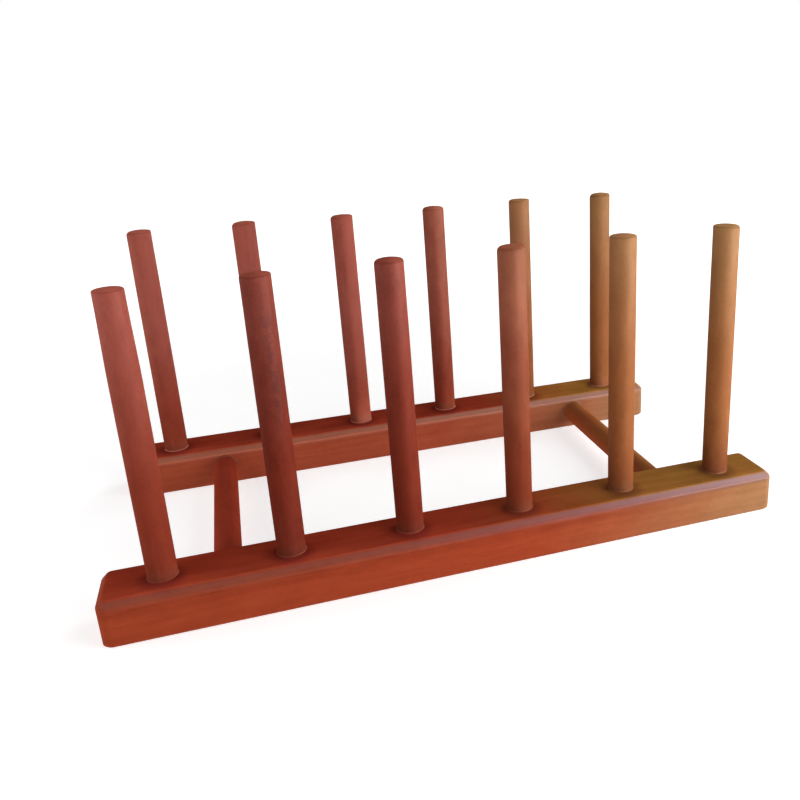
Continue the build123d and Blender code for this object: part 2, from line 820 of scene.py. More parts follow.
@dataclass(frozen=True)
class LacqueredWood:
    """Stained wood under satin lacquer, with one stain low down and one high up.

    Attributes:
        name: the material's name.
        grain: which way its fibres run.
        low: the stain low down.
        high: the stain high up.
        change: the band of heights over which the low stain becomes the high one.
        pattern: the wood's own pattern.
        layers: what lies over the stain, wears it, or paints light or shade on it, the lowest
            first.
        coat_roughness: how blurred the lacquer's reflections are.
        haze: how uneven the gloss is.
        lag: how much later the fade along X comes for each metre further back.
        look_attribute: keeps a piece's tone with its painted lit side, how much lower its high
            stain starts, and its ending.
        cut_from: where in the pattern the piece was cut from, in millimetres.
    """

    name: str
    grain: Grain
    low: StainFade
    high: StainFade
    change: Band
    pattern: WoodPattern = WoodPattern()
    layers: tuple[FinishLayer, ...] = ()
    coat_roughness: float = 0.32
    haze: float = 0.0
    lag: float = 0.0
    look_attribute: str = ""
    cut_from: Triple = (0.0, 0.0, 0.0)

    RUB = NoiseLayer((0.5, 0.5, 0.06))
    CLOUDS_IN_A_METRE = 45.0
    CLOUD_SWAY = 0.03
    PORE_SHADE = 0.5
    ROUGHNESS, ROUGHER_PALE, ROUGHER_PORES = 0.48, 0.16, 0.2
    GLOSS_IN_DARK, LESS_GLOSS_PALE, LESS_GLOSS_PORES = 1.12, 0.24, 0.5
    FIBRE_RELIEF, PALE_RELIEF, PORE_RELIEF = 0.5, 0.35, 1.1
    RELIEF_STRENGTH = 0.35
    RELIEF_DEPTH = 0.06 * MM
    LACQUER_IOR = 1.45

    def material(self) -> bpy.types.Material:
        """Makes the wood's material.

        Returns:
            The material, with all its nodes.
        """
        made = bpy.data.materials.new(self.name)
        canvas = NodeCanvas.emptied(made)
        place = canvas.node("ShaderNodeTexCoord", {}, {}, "Object")
        fibre_place = canvas.node(
            "ShaderNodeMapping",
            {},
            {"Vector": place, "Location": self.cut_from, "Rotation": self.grain.value,
             "Scale": (1 / MM, 1 / MM, 1 / MM)},
        )
        tone, lift, ending = 0.0, 0.0, 0.0
        if self.look_attribute:
            tone, lift, ending = canvas.kept(self.look_attribute)
        figure, pores, fibres = self.pattern.draw(canvas, fibre_place, tone)
        rub = self.RUB.value(canvas, fibre_place)
        point = WoodPoint(place, fibre_place, *canvas.parts(place), figure, rub, ending)
        coat = self._stained(canvas, point, lift)
        for layer in self.layers:
            coat = layer.lay(canvas, point, coat)

        colour = canvas.mixed(pores * self.PORE_SHADE, coat.colour, self.low.left.deep)
        rough = self.ROUGHNESS + (figure - 0.5) * self.ROUGHER_PALE + pores * self.ROUGHER_PORES
        gloss = coat.gloss * (self.GLOSS_IN_DARK - figure * self.LESS_GLOSS_PALE)
        gloss = gloss * (1 - pores * self.LESS_GLOSS_PORES)
        relief = fibres * self.FIBRE_RELIEF + figure * self.PALE_RELIEF - pores * self.PORE_RELIEF
        normal = canvas.node(
            "ShaderNodeBump",
            {},
            {"Strength": self.RELIEF_STRENGTH, "Distance": self.RELIEF_DEPTH, "Height": relief},
        )
        # The lacquer gives all the gloss, and the wood under it has none of its own
        shader = canvas.node(
            "ShaderNodeBsdfPrincipled",
            {},
            {"Base Color": colour, "Roughness": rough.clamped(), "Normal": normal,
             "Coat Weight": gloss.smaller(1.0), "Coat Roughness": self.coat_roughness,
             "Coat IOR": self.LACQUER_IOR, "Specular IOR Level": 0.0},
        )
        canvas.node("ShaderNodeOutputMaterial", {}, {"Surface": shader})
        return made

    def _stained(self, canvas: NodeCanvas, point: WoodPoint, lift: Signal | float) -> Coat:
        """The stains over the pattern, with a cloudy haze in the lacquer.

        Args:
            canvas: where the nodes go.
            point: what is known about the point.
            lift: how much lower this piece's high stain starts.

        Returns:
            The stained wood.
        """
        cloud = canvas.noise(point.place, self.CLOUDS_IN_A_METRE) - 0.5
        x = point.x - point.y * self.lag + cloud * self.CLOUD_SWAY
        up = (point.z + lift).rise(*self.change)
        low = self.low.spread(canvas, x, point.z, point.figure)
        high = self.high.spread(canvas, x, point.z, point.figure)
        gloss = low.gloss + (high.gloss - low.gloss) * up
        uneven = (1 + cloud * self.haze).larger(0.0)
        return Coat(canvas.mixed(up, low.colour, high.colour), gloss * uneven)


# The finishes of the rack's own pieces

RED_FACE = StainTone(deep=(0.215, 0.029, 0.0105), pale=(0.335, 0.056, 0.021), gloss=0.05)
GOLD_FACE = StainTone(deep=(0.195, 0.100, 0.040), pale=(0.330, 0.175, 0.078), gloss=0.12)
RED_TOP = StainTone(deep=(0.205, 0.0215, 0.0090), pale=(0.345, 0.047, 0.0210), gloss=0.01)
GOLD_TOP = StainTone(deep=(0.195, 0.081, 0.016), pale=(0.335, 0.147, 0.034), gloss=0.01)
# The bevels' colours are painted sheen: paler and mauve, where the lacquer would reflect the light
RED_EDGE = StainTone(deep=(0.18, 0.041, 0.026), pale=(0.265, 0.067, 0.040), gloss=0.14)
MAUVE_EDGE = StainTone(deep=(0.11, 0.050, 0.058), pale=(0.18, 0.083, 0.092), gloss=0.82)

# Lighter, hazier copies of the front rail's stains for the back rail's face and top, painted light
# and sheen; the tan and rose below are its bevel's painted sheen
HAZY_RED_FACE = StainTone(deep=(0.225, 0.036, 0.0150), pale=(0.350, 0.070, 0.031), gloss=0.10)
HAZY_GOLD_FACE = StainTone(deep=(0.200, 0.100, 0.042), pale=(0.340, 0.178, 0.084), gloss=0.16)
GOLD_BACK_TOP = StainTone(deep=(0.270, 0.112, 0.020), pale=(0.440, 0.200, 0.042), gloss=0.01)
TAN_EDGE = StainTone(deep=(0.235, 0.074, 0.043), pale=(0.370, 0.130, 0.077), gloss=0.18)
ROSE_EDGE = StainTone(deep=(0.190, 0.088, 0.066), pale=(0.300, 0.150, 0.112), gloss=0.75)

RED_PEG_FOOT = StainTone(deep=(0.076, 0.0070, 0.0028), pale=(0.193, 0.0285, 0.0130), gloss=0.09)
GOLD_PEG_FOOT = StainTone(deep=(0.148, 0.042, 0.012), pale=(0.286, 0.105, 0.031), gloss=0.12)
# The tips' stains are painted sheen: paler and hazier, where the lacquer would reflect the bright
# surroundings
RED_PEG_TIP = StainTone(deep=(0.100, 0.016, 0.009), pale=(0.268, 0.062, 0.042), gloss=0.17)
GOLD_PEG_TIP = StainTone(deep=(0.175, 0.080, 0.024), pale=(0.328, 0.157, 0.063), gloss=0.22)
# The ends' stains are painted light: far paler than the sides, for the light and the reflection on
# the end grain
RED_PEG_END = StainTone(deep=(0.31, 0.062, 0.038), pale=(0.56, 0.142, 0.096), gloss=0.02)
GOLD_PEG_END = StainTone(deep=(0.42, 0.210, 0.075), pale=(0.66, 0.350, 0.145), gloss=0.02)

# The stretchers' lighter tops and darker undersides are painted light and painted shade
RED_ROD = StainTone(deep=(0.180, 0.0170, 0.0070), pale=(0.312, 0.0390, 0.0165), gloss=0.01)
UMBER_ROD = StainTone(deep=(0.160, 0.038, 0.008), pale=(0.272, 0.070, 0.016), gloss=0.01)
RED_ROD_TOP = StainTone(deep=(0.190, 0.0210, 0.0095), pale=(0.330, 0.0470, 0.0220), gloss=0.03)
GOLD_ROD_TOP = StainTone(deep=(0.225, 0.104, 0.026), pale=(0.390, 0.190, 0.058), gloss=0.02)

RED_VARNISH = StainTone(deep=(0.150, 0.030, 0.017), pale=(0.255, 0.060, 0.035), gloss=0.09)
GOLD_VARNISH = StainTone(deep=(0.175, 0.062, 0.026), pale=(0.280, 0.104, 0.045), gloss=0.20)
# Paler varnish for the back rail's rings, painted as their highlight
PALE_VARNISH = StainTone(deep=(0.285, 0.080, 0.050), pale=(0.460, 0.155, 0.100), gloss=0.04)
TAN_VARNISH = StainTone(deep=(0.260, 0.100, 0.050), pale=(0.420, 0.178, 0.090), gloss=0.12)

FRONT_ROW, BACK_ROW = -0.0675, 0.0675
RAIL_TOP_START = (0.0180, 0.0197)
FRONT_EDGE = EdgeWear(
    foot=0.0168,
    top=0.0200,
    rail_end=0.1520,
    row=FRONT_ROW,
    stain=StainFade(RED_EDGE, MAUVE_EDGE, middle=0.04, half=0.13),
    share=0.9,
    pooled=0.7,
    worn=0.5,
    arris=0.0,
    matt=0.65,
)
BACK_EDGE = replace(
    FRONT_EDGE,
    row=BACK_ROW,
    stain=replace(FRONT_EDGE.stain, left=TAN_EDGE, right=ROSE_EDGE),
    pooled=0.2,
    arris=0.8,
    matt=0.3,
)
FRONT_SHADE = JointShade(
    pitch=0.0508,
    row=FRONT_ROW,
    forward=0.003,
    spread=(0.0045, 0.0115),
    top=RAIL_TOP_START,
    tint=(0.60, 0.56, 0.80),
)
BACK_SHADE = replace(FRONT_SHADE, row=BACK_ROW)
CHIPPED_END = ChippedEnd(place=0.1515, reach=0.0040, colour=(0.48, 0.30, 0.17), share=0.40)
FRONT_RAIL_WOOD = LacqueredWood(
    name="rail_stain_and_lacquer",
    grain=Grain.ALONG_RAIL,
    low=StainFade(RED_FACE, GOLD_FACE, middle=0.100, half=0.090),
    high=StainFade(RED_TOP, GOLD_TOP, middle=0.050, half=0.060),
    change=RAIL_TOP_START,
    layers=(FRONT_EDGE, FRONT_SHADE),
)
# The back rail's lighter, hazier face and lighter top are painted light and sheen
BACK_RAIL_WOOD = replace(
    FRONT_RAIL_WOOD,
    name="back_rail_stain_and_lacquer",
    low=replace(FRONT_RAIL_WOOD.low, left=HAZY_RED_FACE, right=HAZY_GOLD_FACE),
    high=StainFade(RED_TOP, GOLD_BACK_TOP, middle=0.084, half=0.040),
    layers=(BACK_EDGE, BACK_SHADE, CHIPPED_END),
    cut_from=(5.0, 19.0, 230.0),
)

PEG_FOOT = StainFade(RED_PEG_FOOT, GOLD_PEG_FOOT, middle=0.069, half=0.057, climb=0.16)
PEG_SMEAR = VarnishSmear(
    fade=(0.0215, 0.0275), left=(1.05, 1.45, 1.65), right=(1.05, 1.02, 1.40)
)
PEG_BLOOM = LacquerBloom(
    attribute="peg_bloom", clouded=(0.66, 0.84, 1.04), scuffed=(1.9, 2.5, 2.6)
)
PEG_END = SawnEnd(
    rim=(0.97, 0.97, 0.97),
    stain=StainFade(RED_PEG_END, GOLD_PEG_END, middle=0.117, half=0.060, climb=0.5),
)
# Painted light on the pegs: paler, hazier tips, sheen at the foot, a reflection and a highlight, a
# paler lit side and pale ends
PEG_WOOD = LacqueredWood(
    name="peg_stain_and_lacquer",
    grain=Grain.ALONG_PEG,
    low=PEG_FOOT,
    high=replace(PEG_FOOT, left=RED_PEG_TIP, right=GOLD_PEG_TIP),
    change=(0.058, 0.150),
    pattern=WoodPattern(streaks=0.4, turning=0.12),
    layers=(PEG_SMEAR, PEG_BLOOM, PEG_END),
    coat_roughness=0.55,
    haze=1.2,
    lag=0.13,
    look_attribute="peg_look",
    cut_from=(13.0, 7.0, 41.0),
)

# Painted shade below and painted light above, round each stretcher
ROD_UNDERSIDE = StainFade(RED_ROD, UMBER_ROD, middle=0.101, half=0.045)
STRETCHER_WOOD = LacqueredWood(
    name="stretcher_stain_and_lacquer",
    grain=Grain.ALONG_STRETCHER,
    low=ROD_UNDERSIDE,
    high=replace(ROD_UNDERSIDE, left=RED_ROD_TOP, right=GOLD_ROD_TOP),
    change=(0.004, 0.016),
    pattern=WoodPattern(streaks=0.75),
    cut_from=(31.0, 3.0, 17.0),
)

THIN_FILM = StainFade(RED_VARNISH, GOLD_VARNISH, middle=0.05, half=0.06)
# The back rail's rings: a paler copy of the varnish, painted as their highlight
THICK_FILM = replace(THIN_FILM, left=PALE_VARNISH, right=TAN_VARNISH)
VARNISH = LacqueredWood(
    name="set_varnish",
    grain=Grain.ALONG_RAIL,
    low=THIN_FILM,
    high=THIN_FILM,
    change=(0.004, 0.016),
    pattern=WoodPattern(streaks=0.2),
    coat_roughness=0.25,
)
THICK_VARNISH = replace(VARNISH, name="thick_set_varnish", low=THICK_FILM, high=THICK_FILM)


# Shapes that follow a rule


class GrowthRule:
    """A Geometry Nodes tree with named inputs, which grows plain meshes."""

    def __init__(self, name: str, inputs: Mapping[str, Input]) -> None:
        """Starts the tree.

        Args:
            name: the tree's name.
            inputs: what each named input takes.
        """
        self.tree = bpy.data.node_groups.new(name, "GeometryNodeTree")
        for label, kind in inputs.items():
            self.tree.interface.new_socket(label, in_out="INPUT", socket_type=kind.value)
        self.tree.interface.new_socket("Shape", in_out="OUTPUT", socket_type="NodeSocketGeometry")
        self.canvas = NodeCanvas(self.tree)
        group = self.canvas.node("NodeGroupInput")
        self.given = {label: group.also(label) for label in inputs}

    def turned(
        self,
        sides: Signal,
        rows: int,
        radius_at: Callable[[Signal, Signal], Signal],
        height_at: Callable[[Signal, Signal], Signal],
        looks: Mapping[str, Callable[[Signal, Signal], Signal]] | None = None,
    ) -> Signal:
        """A closed surface turned about Z.

        Args:
            sides: how many faces go round.
            rows: how many points the profile has.
            radius_at: the radius at a row number and an angle.
            height_at: the height at a row number and an angle.
            looks: vectors to be kept on the points for the finish, at a row number and an angle.

        Returns:
            The surface, its seam and its poles merged.
        """
        canvas = self.canvas
        grid = canvas.node(
            "GeometryNodeMeshGrid",
            {},
            {"Size X": 1.0, "Size Y": 1.0, "Vertices X": sides + 1, "Vertices Y": rows},
        )
        x, y, _ = canvas.parts(canvas.node("GeometryNodeInputPosition"))
        angle = (x + 0.5) * math.tau
        row = (y + 0.5) * (rows - 1)
        radius = radius_at(row, angle)
        place = canvas.joined(
            radius * angle.cosine(), radius * angle.sine(), height_at(row, angle)
        )
        for name, look_at in (looks or {}).items():
            grid = canvas.node(
                "GeometryNodeStoreNamedAttribute",
                {"data_type": "FLOAT_VECTOR", "domain": "POINT"},
                {"Geometry": grid, "Name": name, "Value": look_at(row, angle)},
            )
        wrapped = canvas.node("GeometryNodeSetPosition", {}, {"Geometry": grid, "Position": place})
        merged = canvas.node(
            "GeometryNodeMergeByDistance", {}, {"Geometry": wrapped, "Distance": 0.001 * MM}
        )
        return canvas.node("GeometryNodeSetShadeSmooth", {}, {"Geometry": merged})

    def close(self, shape: Signal) -> None:
        """Ends the tree with real geometry and the Material input.

        Args:
            shape: the geometry that the tree makes.
        """
        real = self.canvas.node("GeometryNodeRealizeInstances", {}, {"Geometry": shape})
        dressed = self.canvas.node(
            "GeometryNodeSetMaterial", {}, {"Geometry": real, "Material": self.given["Material"]}
        )
        self.canvas.node("NodeGroupOutput", {}, {"Shape": dressed})

    def grow(self, name: str, sizes: Mapping[str, Any]) -> bpy.types.Object:
        """Makes a plain mesh object from the tree.

        Args:
            name: the new object's name.
            sizes: the value of each named input.

        Returns:
            The object, at the origin, with no modifier left on it.
        """
        made = bpy.data.objects.new(name, bpy.data.meshes.new(name))
        bpy.context.scene.collection.objects.link(made)
        modifier = made.modifiers.new("Growth", "NODES")
        modifier.node_group = self.tree
        items = self.tree.interface.items_tree
        sockets = {item.name: item.identifier for item in items if item.in_out == "INPUT"}
        for label, value in sizes.items():
            modifier[sockets[label]] = value
        graph = bpy.context.evaluated_depsgraph_get()
        mesh = bpy.data.meshes.new_from_object(made.evaluated_get(graph), depsgraph=graph)
        made.modifiers.remove(modifier)
        made.data = mesh
        mesh.name = name
        return made


class PegRule(GrowthRule):
    """A round dowel, its tip crowned and its rim sanded by hand, rounder on one side."""

    FOOT_ROWS = 2
    SIDE_ROWS = 22
    RIM_ROWS = 7
    CROWN_ROWS = 6
    HOLLOWS_ROUND = 1.3
    HOLLOWS_ALONG = 6.0
    TAPER_START = (0.72, 1.0)
    DOME_POWER = 2.0
    PALE_ANGLE = math.radians(-40)
    PALE_FACING = (0.3, 0.95)
    PALE_START = (0.0, 0.35)
    FOOT_TONE_STOP = (0.12, 0.32)
    BLOOM_ANGLE = math.radians(-75)
    BLOOM_FACING = (0.80, 0.99)
    BLOOM_START, BLOOM_STOP = (0.40, 0.66), (0.84, 0.98)
    SCUFF_ANGLE = math.radians(-60)
    SCUFF_FACING = (0.2, 0.9)
    SCUFF_STOP = (0.09, 0.26)

    def __init__(self) -> None:
        """Builds the tree."""
        numbers = (
            "Radius", "Length", "Foot Bevel", "Rim Rounding", "Rounder Side", "Rounder Share",
            "Crown", "Taper", "Unevenness", "Seed", "Tone", "Pale Side", "Foot Tone",
            "Haze Lift", "Bloom", "Scuff",
        )
        super().__init__(
            "turned_peg",
            {
                "Place": Input.VECTOR,
                "Sides": Input.COUNT,
                **dict.fromkeys(numbers, Input.NUMBER),
                "Material": Input.MATERIAL,
            },
        )
        rows = 1 + self.FOOT_ROWS + self.SIDE_ROWS + self.RIM_ROWS + self.CROWN_ROWS
        looks = {PEG_WOOD.look_attribute: self._look, PEG_BLOOM.attribute: self._bloom}
        peg = self.turned(self.given["Sides"], rows, self._radius, self._height, looks)
        placed = self.canvas.node(
            "GeometryNodeTransform", {}, {"Geometry": peg, "Translation": self.given["Place"]}
        )
        self.close(placed)

    def _shares(self, row: Signal) -> tuple[Signal, Signal, Signal, Signal, Signal]:
        """How far a row has come across each stretch of the profile.

        Args:
            row: the row's number, from the middle of the foot to the middle of the tip.

        Returns:
            The shares of the foot, its bevel, the side, the rim and the crown.
        """
        side_end = self.FOOT_ROWS + self.SIDE_ROWS
        starts = (0, 1, self.FOOT_ROWS, side_end, side_end + self.RIM_ROWS)
        ends = (*starts[1:], starts[-1] + self.CROWN_ROWS)
        return tuple(row.rise(a, b, smooth=False) for a, b in zip(starts, ends))

    @staticmethod
    def _facing(angle: Signal, middle: float, facing: Band) -> Signal:
        """How squarely an angle faces the middle one, from the band of their gap's cosine."""
        return (angle - middle).cosine().rise(*facing)

    def _look(self, row: Signal, angle: Signal) -> Signal:
        """What the finish keeps in its look attribute.

        Args:
            row: the row's number.
            angle: the angle round the peg.

        Returns:
            The tone with the painted lit side, how much lower the high stain with its painted
            sheen starts, and the ending.
        """
        _, _, side, rim, crown = self._shares(row)
        # Painted light: paler on the side that faces forward and to the right, where the light
        # falls
        facing = self._facing(angle, self.PALE_ANGLE, self.PALE_FACING)
        paler = self.given["Pale Side"] * facing * side.rise(*self.PALE_START)
        foot = side.fall(*self.FOOT_TONE_STOP)
        tone = self.given["Tone"] + paler + self.given["Foot Tone"] * foot
        return self.canvas.joined(tone, self.given["Haze Lift"], rim + crown)

    def _bloom(self, row: Signal, angle: Signal) -> Signal:
        """What the finish keeps in its attribute of painted sheen.

        Args:
            row: the row's number.
            angle: the angle round the peg.

        Returns:
            How strong the painted reflection is, high up on one side, and the painted highlight at
            the foot.
        """
        _, _, side, _, _ = self._shares(row)
        # Painted reflection high up on the side towards the front, and painted highlight at the
        # foot on the side where the light falls
        clouded_side = self._facing(angle, self.BLOOM_ANGLE, self.BLOOM_FACING)
        upper = side.between(self.BLOOM_START, self.BLOOM_STOP)
        scuffed_side = self._facing(angle, self.SCUFF_ANGLE, self.SCUFF_FACING)
        scuff = self.given["Scuff"] * scuffed_side * side.fall(*self.SCUFF_STOP)
        return self.canvas.joined(self.given["Bloom"] * clouded_side * upper, scuff, 0.0)

    def _rounding(self, angle: Signal) -> Signal:
        """The rim's rounding at an angle."""
        lean = (angle - self.given["Rounder Side"]).cosine() * self.given["Rounder Share"]
        return self.given["Rim Rounding"] * (1 + lean)

    def _radius(self, row: Signal, angle: Signal) -> Signal:
        """The peg's profile from its axis, never outside the dowel that it is turned from.

        Args:
            row: the row's number.
            angle: the angle round the peg.

        Returns:
            The radius.
        """
        foot, bevel, side, rim, crown = self._shares(row)
        rounding = self._rounding(angle)
        swing = self.canvas.joined(
            angle.cosine() * self.HOLLOWS_ROUND + self.given["Seed"],
            angle.sine() * self.HOLLOWS_ROUND,
            side * self.HOLLOWS_ALONG,
        )
        hollow = self.canvas.noise(swing, detail=1.0) * self.given["Unevenness"]
        taper = self.given["Taper"] * side.rise(*self.TAPER_START)
        inner = self.given["Radius"] - hollow - taper - rounding
        top = inner * (1 - crown) + rounding * (rim * QUARTER_TURN).cosine()
        low = self.given["Foot Bevel"] * (1 - bevel)
        return (top - low) * foot

    def _height(self, row: Signal, angle: Signal) -> Signal:
        """The peg's profile from its foot up.

        Args:
            row: the row's number.
            angle: the angle round the peg.

        Returns:
            The height above the foot.
        """
        _, bevel, side, rim, crown = self._shares(row)
        rounding = self._rounding(angle)
        foot = self.given["Foot Bevel"]
        straight = self.given["Length"] - foot - rounding - self.given["Crown"]
        dome = 1 - (1 - crown) ** self.DOME_POWER
        return (foot * bevel + straight * side + rounding * (rim * QUARTER_TURN).sine()
                + self.given["Crown"] * dome)


class RingRowRule(GrowthRule):
    """A row of varnish rings, each a small hollow fillet round a dowel where it enters a rail."""

    FILLET_ROWS = 6
    HIDDEN_ROWS = 3
    WANDER = 1.6

    def __init__(self) -> None:
        """Builds the tree."""
        super().__init__(
            "varnish_ring_row",
            {
                "Count": Input.COUNT,
                "Start": Input.VECTOR,
                "Step": Input.VECTOR,
                "Turn": Input.VECTOR,
                "Turn Per Ring": Input.VECTOR,
                "Sides": Input.COUNT,
                "Dowel Radius": Input.NUMBER,
                "Ring Width": Input.NUMBER,
                "Ring Height": Input.NUMBER,
                "Sunk": Input.NUMBER,
                "Unevenness": Input.NUMBER,
                "Seed": Input.COUNT,
                "Material": Input.MATERIAL,
            },
        )
        canvas, given = self.canvas, self.given
        rows = 1 + self.FILLET_ROWS + self.HIDDEN_ROWS
        ring = self.turned(given["Sides"], rows, self._radius, self._height)
        line = canvas.node(
            "GeometryNodeMeshLine",
            {"mode": "OFFSET"},
            {"Count": given["Count"], "Start Location": given["Start"], "Offset": given["Step"]},
        )
        number = canvas.node("GeometryNodeInputIndex")
        turn = canvas.node(
            "ShaderNodeVectorMath",
            {"operation": "MULTIPLY_ADD"},
            {0: canvas.joined(number, number, number), 1: given["Turn Per Ring"],
             2: given["Turn"]},
        )
        spin = canvas.node(
            "FunctionNodeRandomValue",
            {"data_type": "FLOAT"},
            {"Min": 0.0, "Max": math.tau, "Seed": given["Seed"]},
            "Value",
        )
        own_turn = canvas.node(
            "FunctionNodeRotateEuler",
            {"rotation_type": "EULER", "space": "LOCAL"},
            {0: turn, 1: canvas.joined(0.0, 0.0, spin)},
        )
        rings = canvas.node(
            "GeometryNodeInstanceOnPoints",
            {},
            {"Points": line, "Instance": ring, "Rotation": own_turn},
        )
        self.close(rings)

    def _radius(self, row: Signal, angle: Signal) -> Signal:
        """The ring's profile from its axis.

        Args:
            row: the row's number, from the dowel down the fillet and back behind it.
            angle: the angle round the ring.

        Returns:
            The radius.
        """
        fillet = row.rise(0, self.FILLET_ROWS, smooth=False)
        back = row.rise(self.FILLET_ROWS + 1, self.FILLET_ROWS + 2, smooth=False)
        round_place = self.canvas.joined(angle.cosine(), angle.sine(), 0.0)
        wander = self.canvas.noise(round_place, self.WANDER, detail=1.0)
        width = self.given["Ring Width"] * (1 + (wander - 0.5) * self.given["Unevenness"])
        reach = width * (1 - (fillet * QUARTER_TURN).cosine())
        hidden = self.given["Dowel Radius"] - self.given["Sunk"]
        return hidden + (reach + self.given["Sunk"]) * (1 - back)

    def _height(self, row: Signal, angle: Signal) -> Signal:
        """The ring's profile above the rail's face.

        Args:
            row: the row's number, as for the radius.
            angle: the angle round the ring, which is not used.

        Returns:
            The height, which is less than 0 where the ring is sunk in the rail.
        """
        fillet = row.rise(0, self.FILLET_ROWS, smooth=False)
        down = row.rise(self.FILLET_ROWS, self.FILLET_ROWS + 1, smooth=False)
        up = row.rise(self.FILLET_ROWS + 2, self.FILLET_ROWS + 3, smooth=False)
        height = self.given["Ring Height"]
        rising = height * (1 - (fillet * QUARTER_TURN).sine())
        return rising - self.given["Sunk"] * down * (1 - up) + height * up


# Sub-assemblies


@dataclass
class Rails:
    """The two drilled rails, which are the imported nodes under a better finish."""

    front_finish: LacqueredWood = FRONT_RAIL_WOOD
    back_finish: LacqueredWood = BACK_RAIL_WOOD

    def dress(self) -> list[bpy.types.Object]:
        """Gives each rail its own piece of wood."""
        front = dress_nodes([f"{RailSide.FRONT.value}_rail"], self.front_finish)
        return front + dress_nodes([f"{RailSide.BACK.value}_rail"], self.back_finish)


@dataclass
class Stretchers:
    """The two stretchers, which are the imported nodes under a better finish."""

    finish: LacqueredWood = STRETCHER_WOOD

    def dress(self) -> list[bpy.types.Object]:
        """Gives both stretchers their wood."""
        return dress_nodes([f"{side.value}_stretcher" for side in StretcherSide], self.finish)


@dataclass(frozen=True)
class PegLook:
    """What sets one peg apart. Its lengths are in millimetres.

    Attributes:
        rounding: the radius of the tip's sanded rim.
        crown: how high the tip's dome is.
        rounder_side: where the rim is roundest, in degrees from +X.
        rounder_share: how much rounder it is there, as a share of the rounding.
        short: how much shorter the peg is than its node.
        taper: how much its radius loses near the tip.
        tone: how much paler its wood is.
        pale_side: how much paler still it is painted on the side that faces forward and to the
            right, where the light falls; below 0 it paints shade there.
        foot_tone: how much paler its foot is.
        haze_lift: how much lower the painted sheen of its tip starts, in metres.
        bloom: how strong the painted reflection is, high up on its side.
        scuff: how strong the painted highlight at its foot is.
    """

    rounding: float
    crown: float
    rounder_side: float
    rounder_share: float
    short: float = 0.0
    taper: float = 0.05
    tone: float = 0.0
    pale_side: float = 0.0
    foot_tone: float = 0.0
    haze_lift: float = 0.0
    bloom: float = 0.0
    scuff: float = 0.0


FRONT_PEG_LOOKS = (
    PegLook(0.70, 0.60, 0, 0.2, short=1.7, taper=0.42, tone=0.31, pale_side=0.08, haze_lift=0.014),
    PegLook(0.90, 0.80, 180, 0.4, short=1.1, tone=-0.16, pale_side=0.14, foot_tone=0.14,
            bloom=0.95),
    PegLook(1.60, 0.60, 180, 0.2, short=0.5, tone=-0.13, pale_side=0.29, foot_tone=0.10,
            haze_lift=0.002),
    PegLook(1.40, 0.40, 180, 0.5, short=0.2, tone=0.12, haze_lift=0.012),
    PegLook(0.90, 0.60, 180, 0.2, tone=0.05, pale_side=0.11, foot_tone=-0.28, haze_lift=-0.006),
    PegLook(1.20, 0.45, 0, 0.3, foot_tone=-0.42),
)
BACK_PEG_LOOKS = (
    PegLook(1.30, 0.50, 180, 0.5, short=0.6, taper=0.15, tone=0.32, pale_side=0.20,
            haze_lift=0.040, scuff=0.2),
    PegLook(1.50, 0.55, 180, 0.5, short=0.3, tone=0.52, pale_side=-0.28, haze_lift=0.024),
    PegLook(1.30, 0.45, 180, 0.5, short=0.9, tone=0.28, pale_side=0.46, foot_tone=0.12,
            haze_lift=0.060, scuff=0.9),
    PegLook(1.90, 0.50, 180, 0.1, short=0.1, tone=0.11, pale_side=0.28, foot_tone=0.12,
            haze_lift=0.042, scuff=0.35),
    PegLook(0.90, 0.30, 180, 0.6, tone=0.12, haze_lift=0.020),
    PegLook(1.70, 0.50, 180, 0.5, tone=-0.05, foot_tone=-0.12, scuff=0.25),
)


